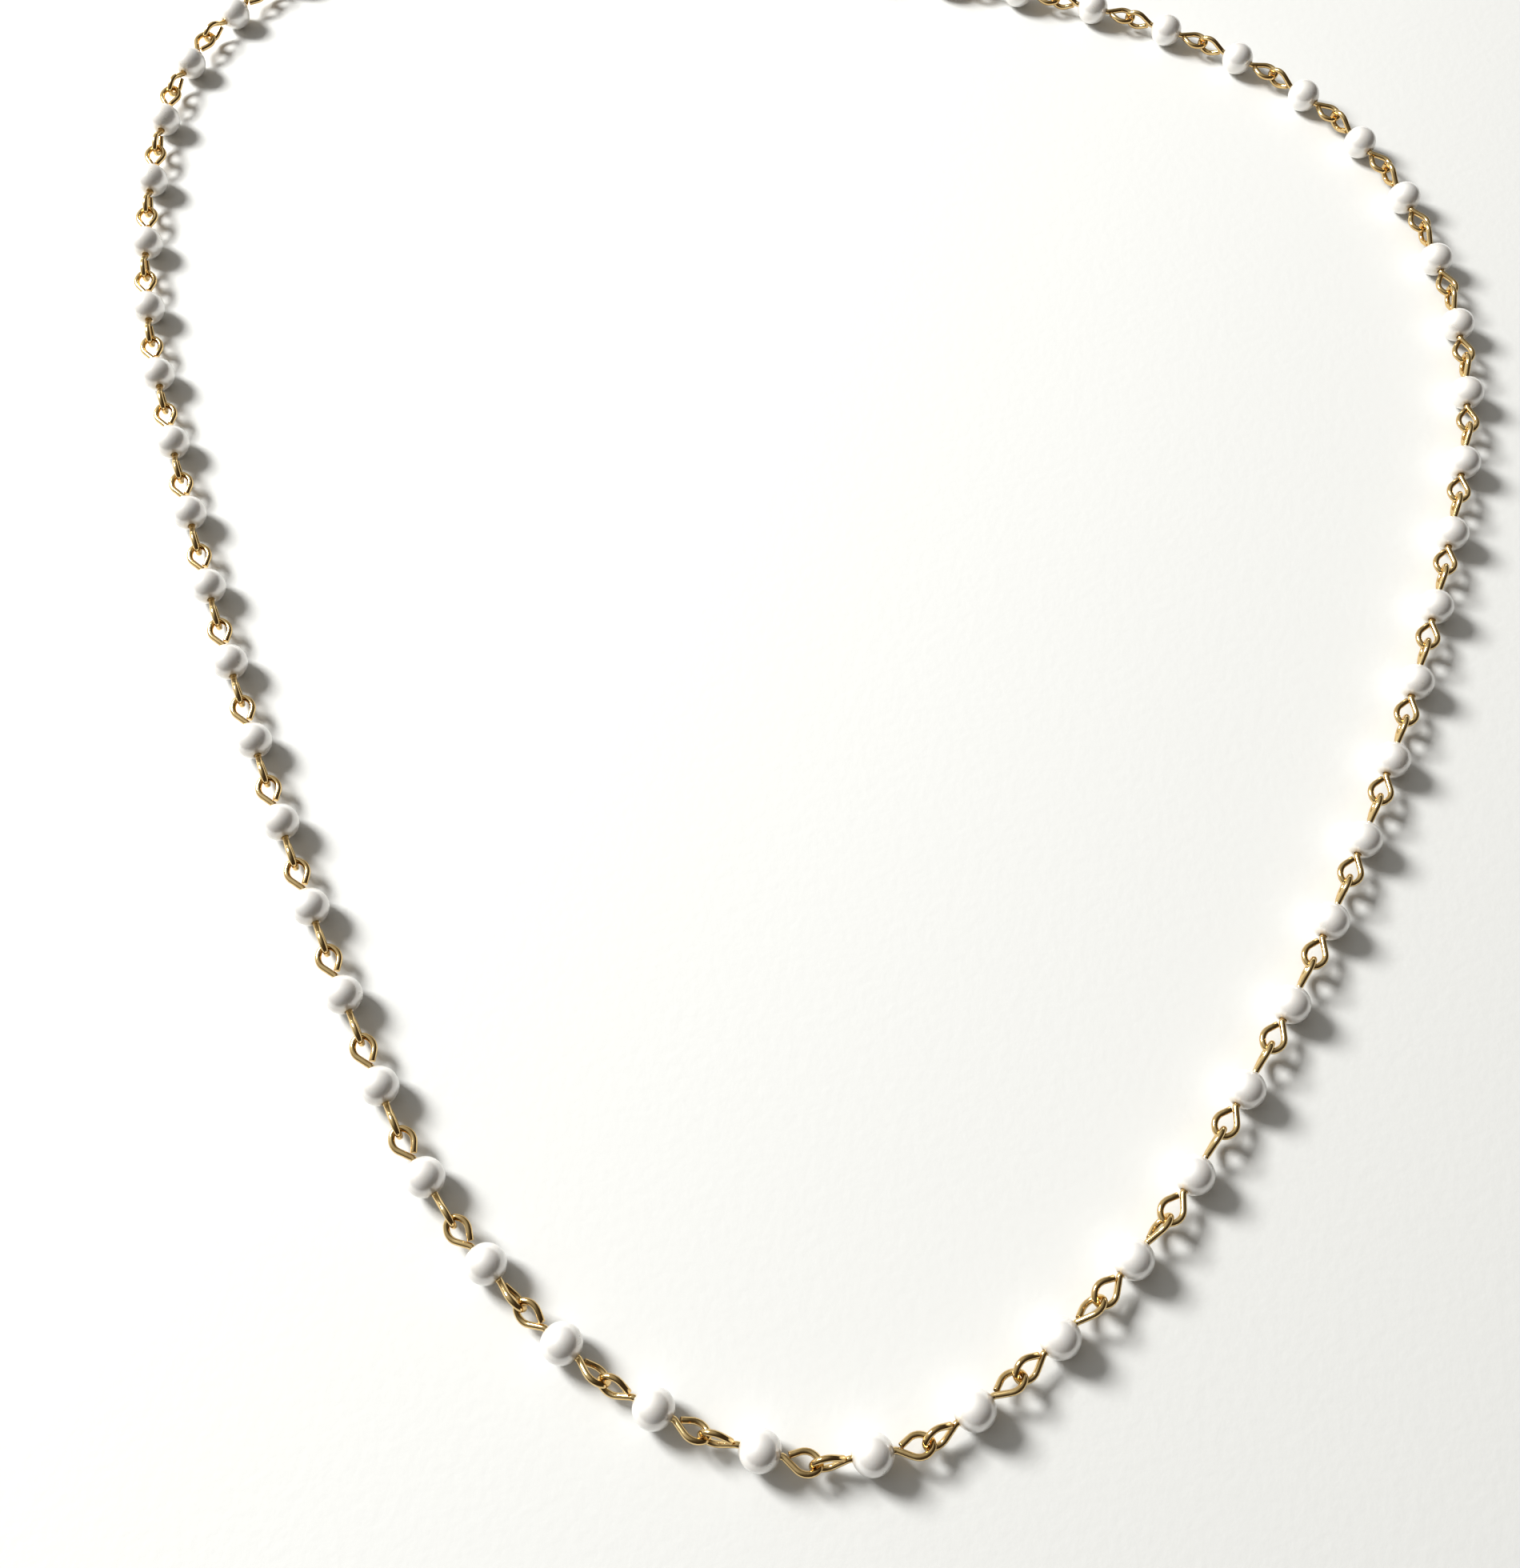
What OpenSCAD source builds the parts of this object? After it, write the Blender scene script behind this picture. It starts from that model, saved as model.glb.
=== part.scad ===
// Pearl necklace: small round pearls, each on its own gold-tone eye wire.
// The eyes of neighbouring wires hook straight into each other.
// A spring ring on one end closes on a plain ring on the other end.
// The necklace lies unfastened on a surface. +X is right, +Y is away and +Z is up.

/* [Pearls] */
// Diameter of a pearl
pearl_d = 4; // [3:0.25:6]
// Diameter of the hole drilled through a pearl
hole_d = 0.8; // [0.7:0.05:1.2]

/* [Eye wires] */
// Diameter of the wire
wire_d = 0.65; // [0.5:0.05:0.8]
// Distance from the pearl's centre to the bend where an eye begins
neck_x = 2.2; // [2:0.05:3.5]
// Distance from the pearl's centre to an eye's side corners
side_x = 4.4; // [3.5:0.05:6]
// Distance from the eye's middle line to its side corners
side_y = 1.38; // [1:0.02:2]
// Distance from the pearl's centre to the end of an eye
tip_x = 5.58; // [4.5:0.02:8]
// Distance from the eye's middle line to its end corners
tip_y = 0.43; // [0.3:0.01:0.8]
// Bend radius at the neck
neck_r = 0.5; // [0.35:0.05:1]
// Bend radius at the side corners
side_r = 1.4; // [0.4:0.05:1.4]
// Bend radius at the end corners
tip_r = 0.75; // [0.4:0.05:1]
// Distance from the neck to the cut end of the wire
cut_back = 0.57; // [0.5:0.01:1]
// Play between two eyes that hook into each other
eye_play = 0.05; // [0.02:0.01:0.2]

/* [Lay of the chain] */
// Bends on the left of the front pearl: how many joints, and degrees at each
left_bends = [[2, 13], [3, 8], [9, 1], [4, 5], [3, 16], [2, 19], [3, 2.5]]; // list
// Bends on the right of the front pearl: how many joints, and degrees at each
right_bends = [[2, 24], [3, 6.5], [4, 2.5], [5, 2], [4, 8.5], [3, 13], [2, 7], [3, 4]]; // list
// Twist of the links at the front of the necklace, in degrees
front_twist = [18, 36, 54, 72, 72, 54, 36, 18]; // list
// The first link of those that are twisted
first_twisted = 24; // [20:1:28]

/* [Clasp] */
// Radius from the clasp's centre to the middle of its tube
clasp_r = 2.6; // [2.2:0.1:4]
// Outer diameter of the clasp's tube
tube_d = 1.6; // [1.4:0.1:2.4]
// Bore of the clasp's tube
bore_d = 1; // [0.8:0.05:1.6]
// Where the gate in the tube starts, in degrees from the side away from the eye
gate_from = 10; // [0:5:30]
// Where the gate in the tube ends
gate_to = 65; // [50:5:80]
// Diameter of the sliding bolt
bolt_d = 0.86; // [0.6:0.02:1.4]
// How far the bolt slides round when the clasp is opened, in degrees
bolt_travel = 50; // [30:5:60]
// Diameter of the thumb knob
knob_d = 0.9; // [0.7:0.1:1.4]
// Middle radius of the clasp's eye
clasp_eye_r = 0.95; // [0.8:0.05:1.5]
// Wire of the clasp's eye
clasp_eye_d = 0.6; // [0.5:0.05:0.9]
// Middle radius of the jump ring that joins the clasp to the chain
jump_r = 1.35; // [1.2:0.05:2]
// Middle radius of the ring that the clasp closes on
end_r = 2; // [1.8:0.1:3]
// Wire of the ring that the clasp closes on
end_d = 0.8; // [0.6:0.05:1]
// How far the clasp dips to the surface, in degrees
clasp_dip = 8.8; // [0:0.2:20]
// How far the end ring dips to the surface, in degrees
end_dip = 23.5; // [0:0.5:40]

/* [Hidden] */
pearl_colour = "#f1ede4";
gold_colour = "#d6a950";
steel_colour = "#9a9a98";
pearl_r = pearl_d / 2;
wire_r = wire_d / 2;
tube_r = tube_d / 2;
// Facets of the round shapes
pearl_fn = 96;
round_fn = 48;
arc_fn = 180;
// The slit in a jump ring, in degrees
slit = 4;
// Bends and the shank are thinner than the straight pieces by a hair, so that they end inside them
hair = 0.003;
lap = 0.02;
// The shank ends this far short of the neck bend's corner
shank_short = 0.2;

// The chain has one link per joint on each side, and the front link
function spread(zones) = [for (z = zones) for (i = [1 : z[0]]) z[1]];
function ahead(h) = [cos(h), sin(h), 0];
function total(v, n, i = 0) = i >= n ? 0 : v[i] + total(v, n, i + 1);
left_turns = spread(left_bends);
right_turns = spread(right_bends);
front = len(left_turns) + 1;
n_links = front + len(right_turns);
// The tip of an eye stands out past the joint by half of a wire and its play
overlap = (wire_d + eye_play) / 2;
pitch = 2 * (tip_x - overlap);

// The heading of a link, and its two ends, counted from the front pearl
function heading(k) = k < front ? -total(left_turns, front - k) : total(right_turns, k - front);
function way(k) = k < front ? -1 : 1;
function outer_end(k) = inner_end(k) + way(k) * pitch * ahead(heading(k));
function inner_end(k) = k == front ? [-pitch / 2, 0, 0]
    : k == front + 1 ? [pitch / 2, 0, 0]
    : k == front - 1 ? [-pitch / 2, 0, 0]
    : outer_end(k - way(k));
function pearl_at(k) = inner_end(k) + way(k) * pitch / 2 * ahead(heading(k));
function twist(k) = k < first_twisted || k >= first_twisted + len(front_twist) ? 0
    : front_twist[k - first_twisted];

// The middle of the whole necklace, counted from the front pearl
pearls = [for (k = [1 : n_links]) pearl_at(k)];
xs = [for (p = pearls) p[0]];
ys = [for (p = pearls) p[1]];
middle = [(min(xs) + max(xs)) / 2, (min(ys) + max(ys)) / 2, -pearl_r];

// The clasp's pieces, counted from the outer end of the first link
jump_x = jump_r - overlap;
eye_hook_x = jump_x + jump_r - (wire_d + clasp_eye_d) / 2 - eye_play;
// The clasp's eye is let into the tube by this much
eye_sink = 0.15;
clasp_x = 2 * clasp_eye_r - eye_sink + clasp_r + tube_r;
end_hook_x = overlap - (wire_d + end_d) / 2 - eye_play;
// Where the bolt, its knob and its spring start and end, in degrees
bolt_from = gate_from - 7;
bolt_to = 150;
knob_at = gate_to + 23;
knob_play = 8;
spring_gap = 1;
stop_from = 290;
pocket_from = 345;
slot_w = 0.46;
pin_d = 0.36;
// The knob sits on its pin this far outside the tube, and the pin ends inside it
knob_lift = 0.08;
knob_h = 0.6;
pin_out = 0.3;
// The bore is cut on past the gate by this many degrees
past_gate = 1;
spring_d = 0.84;
spring_bore = 0.5;

function two(k) = k < 10 ? str("0", k) : str(k);
function link_name(k) = str("link_", two(k));

// A straight piece of wire in the XY plane
module rod(p, q, r) {
    d = q - p;
    translate([p[0], p[1], 0])
        rotate([0, 90, atan2(d[1], d[0])])
            cylinder(r = r, h = norm(d), $fn = round_fn);
}

// Part of a ring in the XY plane
module arc(ring_r, wire_r, from, to) {
    rotate_extrude(angle = to - from, start = from, $fn = arc_fn)
        translate([ring_r, 0])
            circle(r = wire_r, $fn = round_fn);
}

function unit(v) = v / norm(v);
function side_of(u) = [-u[1], u[0]];
function cross2(a, b) = a[0] * b[1] - a[1] * b[0];
function turn_of(a, b) = atan2(cross2(a, b), a * b);

// A wire bent through points in the XY plane, with a bend radius for each point
module bent_wire(pts, bends, r) {
    n = len(pts);
    dirs = [for (i = [0 : n - 2]) unit(pts[i + 1] - pts[i])];
    turns = [for (i = [0 : n - 1]) i == 0 || i == n - 1 ? 0 : turn_of(dirs[i - 1], dirs[i])];
    cuts = [for (i = [0 : n - 1]) bends[i] * tan(abs(turns[i]) / 2)];
    for (i = [0 : n - 2])
        rod(
            pts[i] + (cuts[i] - (i > 0 ? lap : 0)) * dirs[i],
            pts[i + 1] - (cuts[i + 1] - (i < n - 2 ? lap : 0)) * dirs[i],
            r
        );
    for (i = [1 : n - 2]) {
        inward = sign(turns[i]) * side_of(dirs[i - 1]);
        centre = pts[i] - cuts[i] * dirs[i - 1] + bends[i] * inward;
        start = atan2(-inward[1], -inward[0]);
        translate([centre[0], centre[1], 0])
            arc(bends[i], r - hair, min(start, start + turns[i]), max(start, start + turns[i]));
    }
}

// One eye, from the end of the shank outward along +X
module eye() {
    neck = [neck_x, 0];
    back = unit([side_x, -side_y] - neck);
    bent_wire(
        [
            neck - [2 * shank_short, 0],
            neck,
            [side_x, side_y],
            [tip_x, tip_y],
            [tip_x, -tip_y],
            [side_x, -side_y],
            neck + cut_back * back
        ],
        [0, neck_r, side_r, tip_r, tip_r, side_r, 0],
        wire_r
    );
}

// The wire through a pearl, with an eye at each end, the second turned by a quarter
module eye_wire() {
    shank = [neck_x - shank_short, 0];
    color(gold_colour) {
        rod(-shank, shank, wire_r - hair);
        rotate([0, 0, 180]) eye();
        rotate([90, 0, 0]) eye();
    }
}

module pearl() {
    color(pearl_colour)
        rotate([0, 90, 0])
            difference() {
                sphere(d = pearl_d, $fn = pearl_fn);
                cylinder(d = hole_d, h = 2 * pearl_d, center = true, $fn = round_fn);
            }
}

module link(k) {
    translate(pearl_at(k) - middle)
        rotate([twist(k), 0, heading(k)]) {
            pearl();
            eye_wire();
        }
}

// From the first link's outer end toward the clasp
module clasp_side() {
    translate(outer_end(1) - middle)
        rotate([0, 0, heading(1) + 180])
            children();
}

// A frame on the clasp's centre, with the eye toward -X
module at_clasp() {
    clasp_side()
        translate([eye_hook_x, 0, 0])
            rotate([0, clasp_dip, 0])
                translate([clasp_x, 0, 0])
                    children();
}

module clasp_jump_ring() {
    color(gold_colour)
        clasp_side()
            translate([jump_x, 0, 0])
                rotate([90, 0, 0])
                    arc(jump_r, wire_r, 90 + slit / 2, 450 - slit / 2);
}

module clasp_ring() {
    color(gold_colour)
        at_clasp()
            difference() {
                union() {
                    arc(clasp_r, tube_r, gate_to, gate_from + 360);
                    translate([-clasp_x + clasp_eye_r, 0, 0])
                        arc(clasp_eye_r, clasp_eye_d / 2, 0, 360);
                }
                arc(clasp_r, bore_d / 2, gate_to - past_gate, stop_from);
                arc(clasp_r, bore_d / 2, pocket_from, 360 + gate_from + past_gate);
                rotate_extrude(
                    angle = bolt_travel + 2 * knob_play,
                    start = knob_at - knob_play,
                    $fn = arc_fn
                )
                    translate([clasp_r, -slot_w / 2])
                        square([tube_d, slot_w]);
            }
}

module clasp_bolt() {
    color(gold_colour)
        at_clasp() {
            arc(clasp_r, bolt_d / 2, bolt_from, bolt_to);
            rotate([0, 90, knob_at]) {
                translate([0, 0, clasp_r])
                    cylinder(d = pin_d, h = tube_r + pin_out, $fn = round_fn);
                translate([0, 0, clasp_r + tube_r + knob_lift])
                    cylinder(d = knob_d, h = knob_h, $fn = round_fn);
            }
        }
}

module clasp_spring() {
    color(steel_colour)
        at_clasp()
            difference() {
                arc(clasp_r, spring_d / 2, bolt_to + spring_gap, stop_from - spring_gap);
                arc(clasp_r, spring_bore / 2, bolt_to, stop_from);
            }
}

module end_ring() {
    color(gold_colour)
        translate(outer_end(n_links) - middle)
            rotate([0, 0, heading(n_links)])
                translate([end_hook_x, 0, 0])
                    rotate([0, end_dip, 0])
                        translate([end_r, 0, 0])
                            arc(end_r, end_d / 2, 90 + slit / 2, 450 - slit / 2);
}

for (k = [1 : n_links])
    link(k);
clasp_jump_ring();
clasp_ring();
clasp_bolt();
clasp_spring();
end_ring();
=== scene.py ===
"""A strand of small imitation pearls on gold-tone eye wires, lying unfastened on a pale surface.

Metres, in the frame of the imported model: +X right, +Y from the front pearl to the clasp, +Z up.
"""

import math

import bmesh
import bpy
from mathutils import Matrix, Vector


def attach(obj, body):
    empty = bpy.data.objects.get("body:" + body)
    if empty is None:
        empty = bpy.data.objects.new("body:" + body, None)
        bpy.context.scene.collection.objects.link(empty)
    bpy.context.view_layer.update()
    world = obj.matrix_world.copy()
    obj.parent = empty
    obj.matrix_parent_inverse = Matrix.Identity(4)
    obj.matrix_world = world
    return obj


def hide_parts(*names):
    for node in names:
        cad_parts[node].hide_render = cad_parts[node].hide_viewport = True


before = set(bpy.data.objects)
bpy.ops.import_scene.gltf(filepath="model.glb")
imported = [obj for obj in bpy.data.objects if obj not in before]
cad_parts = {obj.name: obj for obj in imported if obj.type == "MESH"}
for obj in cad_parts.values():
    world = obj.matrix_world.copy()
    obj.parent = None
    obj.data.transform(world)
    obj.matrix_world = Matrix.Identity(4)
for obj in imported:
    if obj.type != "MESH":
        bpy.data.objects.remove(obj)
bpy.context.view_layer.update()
MM = 0.001

# ---------------------------------------------------------------- Camera
# A hand-held camera close to the necklace, above the front pearls and a little to their left.
# It looks down and away, so the front of the strand is large and the clasp end small.
camera_data = bpy.data.cameras.new("camera")
camera_data.sensor_fit = "HORIZONTAL"
camera_data.sensor_width = 36
camera_data.lens = 41.7
camera_data.clip_start = 0.01
camera = bpy.data.objects.new("camera", camera_data)
camera.location = (0.0319, -0.1096, 0.1721)
camera.rotation_euler = [math.radians(turn) for turn in (25.57, -0.6, 13.85)]
bpy.context.scene.collection.objects.link(camera)
bpy.context.scene.camera = camera

# ---------------------------------------------------------------- Surface and light
# A plain pale table top with the softest tooth to it, lit from the upper left by one large window.
# The room on the right is dim, which is what gives the pearls and the gold their dark side.
surface_half = 0.9
surface_tint = (0.80, 0.81, 0.80, 1)


def studio_surface():
    bm = bmesh.new()
    bmesh.ops.create_grid(bm, x_segments=8, y_segments=8, size=surface_half)
    mesh = bpy.data.meshes.new("surface")
    bm.to_mesh(mesh)
    bm.free()
    surface = bpy.data.objects.new("surface", mesh)
    bpy.context.scene.collection.objects.link(surface)
    material = bpy.data.materials.new("pale_surface")
    material.use_nodes = True
    nodes, links = material.node_tree.nodes, material.node_tree.links
    shader = nodes["Principled BSDF"]
    shader.inputs["Base Color"].default_value = surface_tint
    shader.inputs["Roughness"].default_value = 0.7
    shader.inputs["Specular IOR Level"].default_value = 0.25
    place = nodes.new("ShaderNodeTexCoord")
    tooth = nodes.new("ShaderNodeTexNoise")
    tooth.inputs["Scale"].default_value = 900
    tooth.inputs["Detail"].default_value = 3
    bump = nodes.new("ShaderNodeBump")
    bump.inputs["Strength"].default_value = 0.12
    bump.inputs["Distance"].default_value = 0.0002
    links.new(place.outputs["Object"], tooth.inputs["Vector"])
    links.new(tooth.outputs["Fac"], bump.inputs["Height"])
    links.new(bump.outputs["Normal"], shader.inputs["Normal"])
    mesh.materials.append(material)


def window(name, place, target, size, power, tint):
    light = bpy.data.lights.new(name, "AREA")
    light.shape = "RECTANGLE"
    light.size, light.size_y = size
    light.energy = power
    light.color = tint
    lamp = bpy.data.objects.new(name, light)
    lamp.location = place
    aim = Vector(target) - Vector(place)
    lamp.rotation_euler = aim.to_track_quat("-Z", "Y").to_euler()
    bpy.context.scene.collection.objects.link(lamp)


def room():
    """Soft light from above and the left, fading to a dim warm room on the right."""
    world = bpy.data.worlds.new("room")
    bpy.context.scene.world = world
    world.use_nodes = True
    nodes, links = world.node_tree.nodes, world.node_tree.links
    background = nodes["Background"]
    where = nodes.new("ShaderNodeTexCoord")
    toward = nodes.new("ShaderNodeVectorMath")
    toward.operation = "DOT_PRODUCT"
    toward.inputs[1].default_value = (-0.75, 0.30, 0.55)
    ramp = nodes.new("ShaderNodeValToRGB")
    ramp.color_ramp.elements[0].position = 0.0
    ramp.color_ramp.elements[0].color = (0.05, 0.038, 0.028, 1)
    ramp.color_ramp.elements[1].position = 0.9
    ramp.color_ramp.elements[1].color = (0.64, 0.64, 0.62, 1)
    middle = ramp.color_ramp.elements.new(0.4)
    middle.color = (0.14, 0.128, 0.110, 1)
    links.new(where.outputs["Generated"], toward.inputs[0])
    links.new(toward.outputs["Value"], ramp.inputs["Fac"])
    links.new(ramp.outputs["Color"], background.inputs["Color"])
    background.inputs["Strength"].default_value = 1.0


studio_surface()
room()
window("window", (-0.62, 0.16, 0.50), (0, 0, 0), (0.26, 0.26), 11.5, (1.0, 0.99, 0.97))
bpy.context.scene.view_settings.view_transform = "Standard"

# ---------------------------------------------------------------- Pearls
# Small round imitation pearls: glass beads with a pearl lacquer, drilled right through.
# The lacquer draws back a little round each hole, and its lustre clouds softly over the bead.
pearl_r = 2.0 * MM
hole_r = 0.4 * MM
rim = 0.09 * MM
pearl_steps = 56
half_arc_steps = 30
hook_overlap = 0.35 * MM
eye_tip = 5.58 * MM
pitch = 2 * (eye_tip - hook_overlap)
left_bends = [(2, 13), (3, 8), (9, 1), (4, 5), (3, 16), (2, 19), (3, 2.5)]
right_bends = [(2, 24), (3, 6.5), (4, 2.5), (5, 2), (4, 8.5), (3, 13), (2, 7), (3, 4)]
front_twist = [18, 36, 54, 72, 72, 54, 36, 18]
first_twisted = 24


def strand_side(bends, way):
    """The pearl centres and headings from the front pearl outward, as the chain lies."""
    heading, end, side = 0.0, Vector((way * pitch / 2, 0, 0)), []
    for count, turn in bends:
        for _ in range(count):
            heading += way * math.radians(turn)
            ahead = way * Vector((math.cos(heading), math.sin(heading), 0))
            side.append((end + ahead * pitch / 2, heading))
            end = end + ahead * pitch
    return side


def lay_of_links():
    """Where each link lies: its pearl's centre, its heading and its quarter twist at the front."""
    left = strand_side(left_bends, -1)
    right = strand_side(right_bends, 1)
    lie = left[::-1] + [(Vector((0, 0, 0)), 0.0)] + right
    xs = [centre.x for centre, _ in lie]
    ys = [centre.y for centre, _ in lie]
    middle = Vector(((min(xs) + max(xs)) / 2, (min(ys) + max(ys)) / 2, -pearl_r))
    places = {}
    for number, (centre, heading) in enumerate(lie, start=1):
        step = number - first_twisted
        twist = front_twist[step] if 0 <= step < len(front_twist) else 0
        turned = Matrix.Rotation(heading, 4, "Z") @ Matrix.Rotation(math.radians(twist), 4, "X")
        places[number] = Matrix.Translation(centre - middle) @ turned
    return places


links_at = lay_of_links()


def pearl_mesh(place):
    """A drilled bead about local X: its outline is spun from rim to rim and back down the hole."""
    bm = bmesh.new()
    start = math.asin((hole_r + rim) / pearl_r)
    outline = [Vector((-math.sqrt(pearl_r ** 2 - hole_r ** 2) + rim, 0, hole_r))]
    for step in range(half_arc_steps + 1):
        angle = start + (math.pi - 2 * start) * step / half_arc_steps
        outline.append(Vector((-pearl_r * math.cos(angle), 0, pearl_r * math.sin(angle))))
    outline.append(Vector((-outline[0].x, 0, hole_r)))
    verts = [bm.verts.new(point) for point in outline]
    edges = [bm.edges.new(pair) for pair in zip(verts, verts[1:] + verts[:1])]
    bmesh.ops.spin(
        bm, geom=verts + edges, cent=(0, 0, 0), axis=(1, 0, 0), angle=2 * math.pi,
        steps=pearl_steps, use_merge=True,
    )
    bmesh.ops.remove_doubles(bm, verts=bm.verts, dist=1e-7)
    bmesh.ops.recalc_face_normals(bm, faces=bm.faces)
    drawn_back = bm.verts.layers.float.new("drawn_back")
    for vert in bm.verts:
        out = (abs(vert.co.x) / pearl_r - 0.86) / 0.12
        vert[drawn_back] = min(1.0, max(0.0, out))
    for face in bm.faces:
        face.smooth = True
    bmesh.ops.transform(bm, matrix=place, verts=bm.verts)
    mesh = bpy.data.meshes.new("pearl")
    bm.to_mesh(mesh)
    bm.free()
    return mesh


def pearl_material():
    material = bpy.data.materials.new("pearl_lacquer")
    material.use_nodes = True
    nodes, links = material.node_tree.nodes, material.node_tree.links
    shader = nodes["Principled BSDF"]
    shader.inputs["IOR"].default_value = 1.8
    shader.inputs["Metallic"].default_value = 0.25
    shader.inputs["Coat Weight"].default_value = 0.9
    shader.inputs["Coat Roughness"].default_value = 0.06
    shader.inputs["Coat IOR"].default_value = 1.55
    shader.inputs["Subsurface Weight"].default_value = 0.12
    shader.inputs["Subsurface Radius"].default_value = (0.0012, 0.0010, 0.0008)
    shader.inputs["Sheen Weight"].default_value = 0.15
    shader.inputs["Sheen Roughness"].default_value = 0.35
    where = nodes.new("ShaderNodeTexCoord")
    cloud = nodes.new("ShaderNodeTexNoise")
    cloud.inputs["Scale"].default_value = 420
    cloud.inputs["Detail"].default_value = 3
    cloud.inputs["Roughness"].default_value = 0.6
    tint = nodes.new("ShaderNodeValToRGB")
    tint.color_ramp.elements[0].position = 0.30
    tint.color_ramp.elements[0].color = (0.90, 0.87, 0.82, 1)
    tint.color_ramp.elements[1].position = 0.72
    tint.color_ramp.elements[1].color = (0.95, 0.945, 0.92, 1)
    blush = tint.color_ramp.elements.new(0.52)
    blush.color = (0.93, 0.905, 0.87, 1)
    attribute = nodes.new("ShaderNodeAttribute")
    attribute.attribute_name = "drawn_back"
    rim_mix = nodes.new("ShaderNodeMix")
    rim_mix.data_type = "RGBA"
    rim_mix.inputs["B"].default_value = (0.62, 0.55, 0.44, 1)
    speck = nodes.new("ShaderNodeTexNoise")
    speck.inputs["Scale"].default_value = 5200
    speck.inputs["Detail"].default_value = 2
    satin = nodes.new("ShaderNodeMapRange")
    satin.inputs["To Min"].default_value = 0.24
    satin.inputs["To Max"].default_value = 0.34
    grain = nodes.new("ShaderNodeBump")
    grain.inputs["Strength"].default_value = 0.04
    grain.inputs["Distance"].default_value = 0.000004
    links.new(where.outputs["Object"], cloud.inputs["Vector"])
    links.new(where.outputs["Object"], speck.inputs["Vector"])
    links.new(cloud.outputs["Fac"], tint.inputs["Fac"])
    links.new(tint.outputs["Color"], rim_mix.inputs["A"])
    links.new(attribute.outputs["Fac"], rim_mix.inputs["Factor"])
    links.new(rim_mix.outputs["Result"], shader.inputs["Base Color"])
    links.new(cloud.outputs["Fac"], satin.inputs["Value"])
    links.new(satin.outputs["Result"], shader.inputs["Roughness"])
    links.new(speck.outputs["Fac"], grain.inputs["Height"])
    links.new(grain.outputs["Normal"], shader.inputs["Normal"])
    return material


pearl_lacquer = pearl_material()
for number, place in links_at.items():
    mesh = pearl_mesh(place)
    mesh.materials.append(pearl_lacquer)
    pearl = bpy.data.objects.new(f"pearl_{number:02d}", mesh)
    bpy.context.scene.collection.objects.link(pearl)
    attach(pearl, f"link_{number:02d}")
    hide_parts(f"link_{number:02d}")

# ---------------------------------------------------------------- Eye wires
# Round gold-plated brass wire, drawn through a die, threaded through the pearl and bent with
# pliers into a pointed loop at each end. Neighbours hook into each other with no ring between.
wire_r = 0.325 * MM
bend_step = math.radians(11)
neck_x, side_x, side_y = 2.2 * MM, 4.4 * MM, 1.38 * MM
tip_y = 0.43 * MM
neck_bend, side_bend, tip_bend = 0.5 * MM, 1.4 * MM, 0.75 * MM
cut_back = 0.53 * MM
snip = 0.05 * MM
wire_sides = 18


class Wire:
    """A round wire drawn out ring by ring. Each vertex keeps its place round and along the wire."""

    def __init__(self, radius, start, ahead, sides=wire_sides):
        self.bm = bmesh.new()
        self.drawn = self.bm.verts.layers.float_vector.new("drawn")
        self.radius, self.along = radius, 0.0
        self.at, self.ahead = Vector(start), Vector(ahead).normalized()
        turn = self.ahead.to_track_quat("Z", "Y").to_matrix().to_4x4()
        made = bmesh.ops.create_circle(
            self.bm, segments=sides, radius=radius, matrix=Matrix.Translation(self.at) @ turn,
        )
        for number, vert in enumerate(made["verts"]):
            angle = 2 * math.pi * number / sides
            vert[self.drawn] = (radius * math.cos(angle), radius * math.sin(angle), 0)
        self.ring = list({edge for vert in made["verts"] for edge in vert.link_edges})
        self.first = list(self.ring)

    def _next_ring(self, length):
        made = bmesh.ops.extrude_edge_only(self.bm, edges=self.ring)["geom"]
        self.ring = [item for item in made if isinstance(item, bmesh.types.BMEdge)]
        verts = [item for item in made if isinstance(item, bmesh.types.BMVert)]
        self.ring = [edge for edge in self.ring if all(vert in verts for vert in edge.verts)]
        self.along += length
        for vert in verts:
            vert[self.drawn] = (vert[self.drawn].x, vert[self.drawn].y, self.along)
        return verts

    def straight(self, length):
        verts = self._next_ring(length)
        bmesh.ops.translate(self.bm, vec=self.ahead * length, verts=verts)
        self.at = self.at + self.ahead * length

    def bend(self, centre, axis, angle):
        steps = max(1, round(angle / bend_step))
        turn = Matrix.Rotation(angle / steps, 3, axis)
        arc_length = (self.at - centre).length * angle / steps
        for _ in range(steps):
            verts = self._next_ring(arc_length)
            bmesh.ops.rotate(self.bm, cent=centre, matrix=turn, verts=verts)
            self.at = centre + turn @ (self.at - centre)
        self.ahead = Matrix.Rotation(angle, 3, axis) @ self.ahead

    def snip_ends(self, chamfer):
        """Closes each end with a flat cut face and takes its sharp edge off."""
        for ring in (self.first, self.ring):
            made = bmesh.ops.contextual_create(self.bm, geom=ring)
            bmesh.ops.bevel(
                self.bm, geom=[edge for face in made["faces"] for edge in face.edges],
                offset=chamfer, segments=2, profile=0.5, affect="EDGES", material=-1,
            )

    def mesh(self, name, place):
        bmesh.ops.recalc_face_normals(self.bm, faces=self.bm.faces)
        for face in self.bm.faces:
            face.smooth = len(face.verts) == 4
        bmesh.ops.transform(self.bm, matrix=place, verts=self.bm.verts)
        made = bpy.data.meshes.new(name)
        self.bm.to_mesh(made)
        self.bm.free()
        return made


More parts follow.
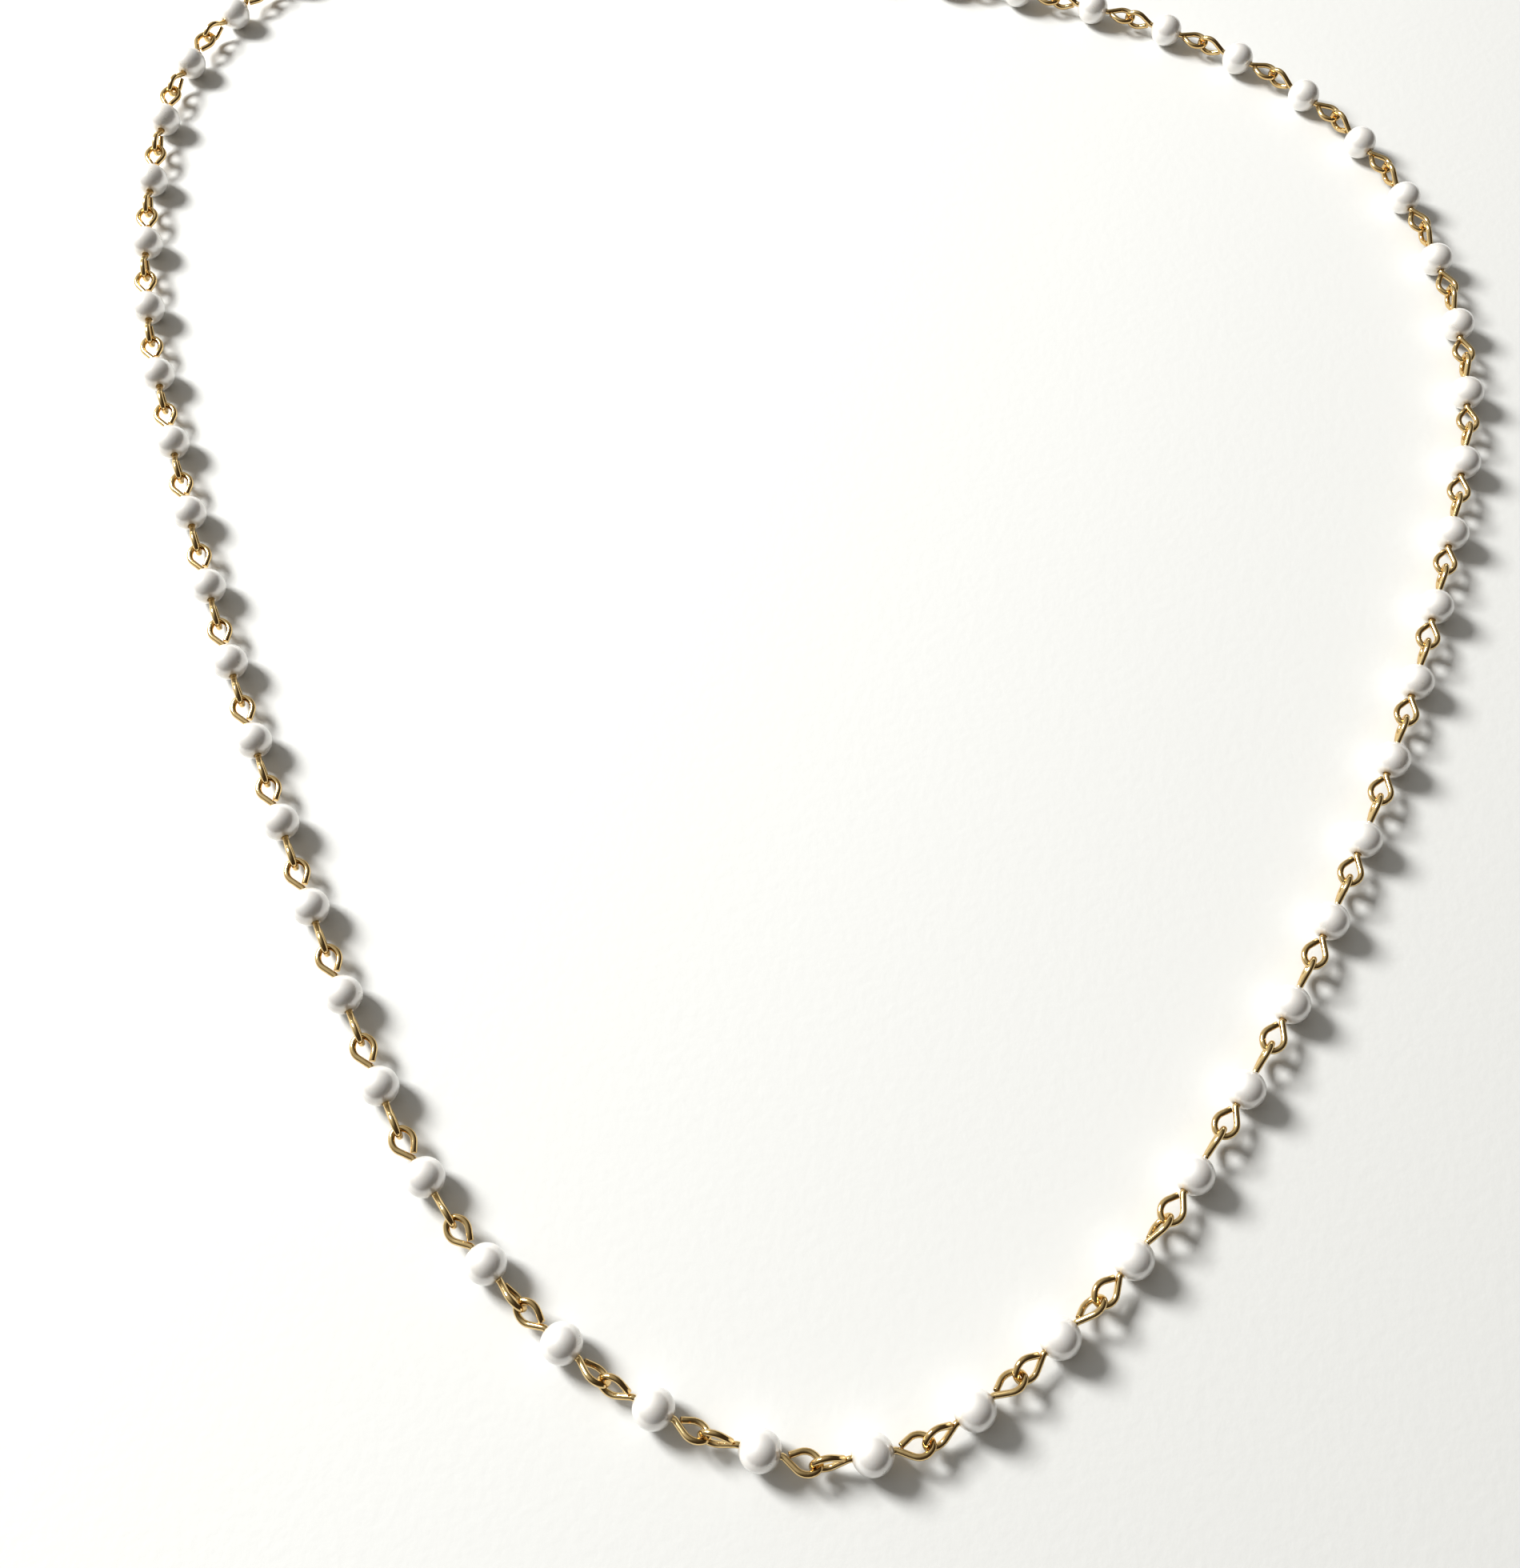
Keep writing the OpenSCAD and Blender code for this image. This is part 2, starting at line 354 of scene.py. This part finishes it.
def bent_wire(points, bends, radius, sides=wire_sides):
    """A wire through points, with a bend radius for each inner point."""
    heads = [(after - before).normalized() for before, after in zip(points, points[1:])]
    turns = [0] + [a.angle(b) for a, b in zip(heads, heads[1:])] + [0]
    cuts = [bend * math.tan(turn / 2) for bend, turn in zip([0] + bends + [0], turns)]
    wire = Wire(radius, points[0], heads[0], sides)
    for number, head in enumerate(heads):
        wire.straight((points[number + 1] - points[number]).length - cuts[number] - cuts[number + 1])
        if number < len(heads) - 1:
            axis = head.cross(heads[number + 1]).normalized()
            inward = axis.cross(head)
            wire.bend(wire.at + inward * bends[number], axis, turns[number + 1])
    return wire


def eye_points():
    """One loop in the XY plane, from the neck out round the tip and back to the cut end."""
    neck = Vector((neck_x, 0, 0))
    back = (Vector((side_x, -side_y, 0)) - neck).normalized()
    corners = [(side_x, side_y), (eye_tip, tip_y), (eye_tip, -tip_y), (side_x, -side_y)]
    return [neck] + [Vector((x, y, 0)) for x, y in corners] + [neck + cut_back * back]


def eye_wire(name, place):
    """The two loops stand at a quarter turn to each other, so that neighbours can hook."""
    first = [Matrix.Rotation(math.pi, 3, "Z") @ point for point in eye_points()]
    second = [Matrix.Rotation(math.pi / 2, 3, "X") @ point for point in eye_points()]
    loop_bends = [neck_bend, side_bend, tip_bend, tip_bend, side_bend]
    wire = bent_wire(first[::-1] + second, loop_bends[::-1] + loop_bends, wire_r)
    wire.snip_ends(snip)
    return wire.mesh(name, place)


def wear_marks():
    """Fine lines left by drawing or rubbing, and a slow change of tone in the plating."""
    group = bpy.data.node_groups.new("wear_marks", "ShaderNodeTree")
    for name, kind, way, value in (
        ("Vector", "NodeSocketVector", "INPUT", None),
        ("Line scale", "NodeSocketFloat", "INPUT", 1000.0),
        ("Tone scale", "NodeSocketFloat", "INPUT", 100.0),
        ("Lines", "NodeSocketFloat", "OUTPUT", None),
        ("Tone", "NodeSocketFloat", "OUTPUT", None),
    ):
        socket = group.interface.new_socket(name, in_out=way, socket_type=kind)
        if value is not None:
            socket.default_value = value
    nodes, links = group.nodes, group.links
    inside, outside = nodes.new("NodeGroupInput"), nodes.new("NodeGroupOutput")
    stretch = nodes.new("ShaderNodeVectorMath")
    stretch.operation = "MULTIPLY"
    stretch.inputs[1].default_value = (1, 1, 0.06)
    lines = nodes.new("ShaderNodeTexNoise")
    lines.inputs["Detail"].default_value = 4
    tone = nodes.new("ShaderNodeTexNoise")
    tone.inputs["Detail"].default_value = 2
    links.new(inside.outputs["Vector"], stretch.inputs[0])
    links.new(stretch.outputs["Vector"], lines.inputs["Vector"])
    links.new(inside.outputs["Line scale"], lines.inputs["Scale"])
    links.new(inside.outputs["Vector"], tone.inputs["Vector"])
    links.new(inside.outputs["Tone scale"], tone.inputs["Scale"])
    links.new(lines.outputs["Fac"], outside.inputs["Lines"])
    links.new(tone.outputs["Fac"], outside.inputs["Tone"])
    return group


marks = wear_marks()


def metal(name, light, dark, rough, follows_wire):
    """Polished plated metal, dark to light in tone, with marks along the wire or over the piece."""
    material = bpy.data.materials.new(name)
    material.use_nodes = True
    nodes, links = material.node_tree.nodes, material.node_tree.links
    shader = nodes["Principled BSDF"]
    shader.inputs["Metallic"].default_value = 1.0
    shader.inputs["Specular Tint"].default_value = (1.0, 0.93, 0.78, 1)
    if follows_wire:
        source = nodes.new("ShaderNodeAttribute")
        source.attribute_name = "drawn"
        vector = source.outputs["Vector"]
    else:
        source = nodes.new("ShaderNodeTexCoord")
        vector = source.outputs["Object"]
    worn = nodes.new("ShaderNodeGroup")
    worn.node_tree = marks
    worn.inputs["Line scale"].default_value = 9000
    worn.inputs["Tone scale"].default_value = 700
    tint = nodes.new("ShaderNodeValToRGB")
    tint.color_ramp.elements[0].position = 0.32
    tint.color_ramp.elements[0].color = (*dark, 1)
    tint.color_ramp.elements[1].position = 0.68
    tint.color_ramp.elements[1].color = (*light, 1)
    dull = nodes.new("ShaderNodeMapRange")
    dull.inputs["From Min"].default_value = 0.3
    dull.inputs["From Max"].default_value = 0.8
    dull.inputs["To Min"].default_value = rough[0]
    dull.inputs["To Max"].default_value = rough[1]
    bump = nodes.new("ShaderNodeBump")
    bump.inputs["Strength"].default_value = 0.10
    bump.inputs["Distance"].default_value = 0.00001
    links.new(vector, worn.inputs["Vector"])
    links.new(worn.outputs["Tone"], tint.inputs["Fac"])
    links.new(tint.outputs["Color"], shader.inputs["Base Color"])
    links.new(worn.outputs["Lines"], dull.inputs["Value"])
    links.new(dull.outputs["Result"], shader.inputs["Roughness"])
    links.new(worn.outputs["Lines"], bump.inputs["Height"])
    links.new(bump.outputs["Normal"], shader.inputs["Normal"])
    return material


gold_light, gold_dark = (0.90, 0.68, 0.34), (0.62, 0.41, 0.17)
wire_gold = metal("gold_wire", gold_light, gold_dark, (0.08, 0.22), follows_wire=True)
for number, place in links_at.items():
    mesh = eye_wire("eye_wire", place)
    mesh.materials.append(wire_gold)
    wire = bpy.data.objects.new(f"eye_wire_{number:02d}", mesh)
    bpy.context.scene.collection.objects.link(wire)
    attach(wire, f"link_{number:02d}")
    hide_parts(f"link_{number:02d}")

# ---------------------------------------------------------------- Clasp and end ring
# A spring ring, pressed from gold-tone tube, with a bolt that a knob draws back against a spring.
# It hangs on a jump ring of the same wire as the links, and closes on the ring at the other end.
ring_gold = metal("gold_ring", gold_light, gold_dark, (0.10, 0.24), follows_wire=False)
steel = metal("spring_steel", (0.62, 0.61, 0.60), (0.42, 0.41, 0.40), (0.25, 0.40), follows_wire=True)
jump_r = 1.35 * MM
end_r, end_wire_r = 2.0 * MM, 0.4 * MM
slit = math.radians(4)
end_dip = math.radians(23.5)
clasp_eye_r, clasp_eye_wire_r = 0.95 * MM, 0.3 * MM
clasp_r, tube_r = 2.6 * MM, 0.8 * MM
eye_sink, play = 0.15 * MM, 0.05 * MM
clasp_dip = math.radians(8.8)
spring_from, spring_to = math.radians(151), math.radians(289)
coil_r, spring_wire_r = 0.33 * MM, 0.09 * MM
coils, coil_points, coil_sides = 17, 8, 8
coil_bend = 0.12 * MM
coil_margin = 0.02
jump_x = jump_r - hook_overlap
eye_hook_x = jump_x + jump_r - wire_r - clasp_eye_wire_r - play
clasp_x = 2 * clasp_eye_r - eye_sink + clasp_r + tube_r
end_hook_x = hook_overlap - wire_r - end_wire_r - play
clasp_side = links_at[1] @ Matrix.Translation((-pitch / 2, 0, 0)) @ Matrix.Rotation(math.pi, 4, "Z")
end_side = links_at[len(links_at)] @ Matrix.Translation((pitch / 2 + end_hook_x, 0, 0))


def split_ring(name, ring_r, radius, place):
    """A ring in the XY plane, cut through where it is sprung open to let an eye in."""
    start = (math.pi + slit) / 2
    at = Vector((ring_r * math.cos(start), ring_r * math.sin(start), 0))
    ring = Wire(radius, at, (-math.sin(start), math.cos(start), 0))
    ring.bend(Vector((0, 0, 0)), Vector((0, 0, 1)), 2 * math.pi - slit)
    ring.snip_ends(snip / 2)
    return ring.mesh(name, place)


def coil_spring(name, place):
    """A close coil laid round inside the clasp's tube, behind the bolt."""
    points = []
    for step in range(coils * coil_points + 1):
        share = step / (coils * coil_points)
        share = coil_margin + (1 - 2 * coil_margin) * share
        angle = spring_from + (spring_to - spring_from) * share
        round_coil = 2 * math.pi * step / coil_points
        out = clasp_r + coil_r * math.cos(round_coil)
        points.append(
            Vector((out * math.cos(angle), out * math.sin(angle), coil_r * math.sin(round_coil)))
        )
    coil = bent_wire(points, [coil_bend] * (len(points) - 2), spring_wire_r, coil_sides)
    coil.snip_ends(snip / 3)
    return coil.mesh(name, place)


clasp_place = (
    clasp_side @ Matrix.Translation((eye_hook_x, 0, 0)) @ Matrix.Rotation(clasp_dip, 4, "Y")
    @ Matrix.Translation((clasp_x, 0, 0))
)
jump_place = (
    clasp_side @ Matrix.Translation((jump_x, 0, 0)) @ Matrix.Rotation(math.pi / 2, 4, "X")
)
end_place = end_side @ Matrix.Rotation(end_dip, 4, "Y") @ Matrix.Translation((end_r, 0, 0))
jump_mesh = split_ring("jump_ring", jump_r, wire_r, jump_place)
end_mesh = split_ring("end_ring", end_r, end_wire_r, end_place)
spring_mesh = coil_spring("coil_spring", clasp_place)
for body, node_name, mesh, finish, slot in (
    ("clasp_jump_ring", "clasp_jump_ring", jump_mesh, wire_gold, "gold_tone"),
    ("end_ring", "end_ring", end_mesh, wire_gold, "gold_tone"),
    ("clasp_ring", "clasp_spring", spring_mesh, steel, "spring_steel"),
):
    mesh.materials.append(finish)
    piece = bpy.data.objects.new(mesh.name, mesh)
    bpy.context.scene.collection.objects.link(piece)
    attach(piece, body)
    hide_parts(node_name)
for name in ("clasp_ring", "clasp_bolt"):
    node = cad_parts[name]
    node.data.materials.clear()
    node.data.materials.append(ring_gold)
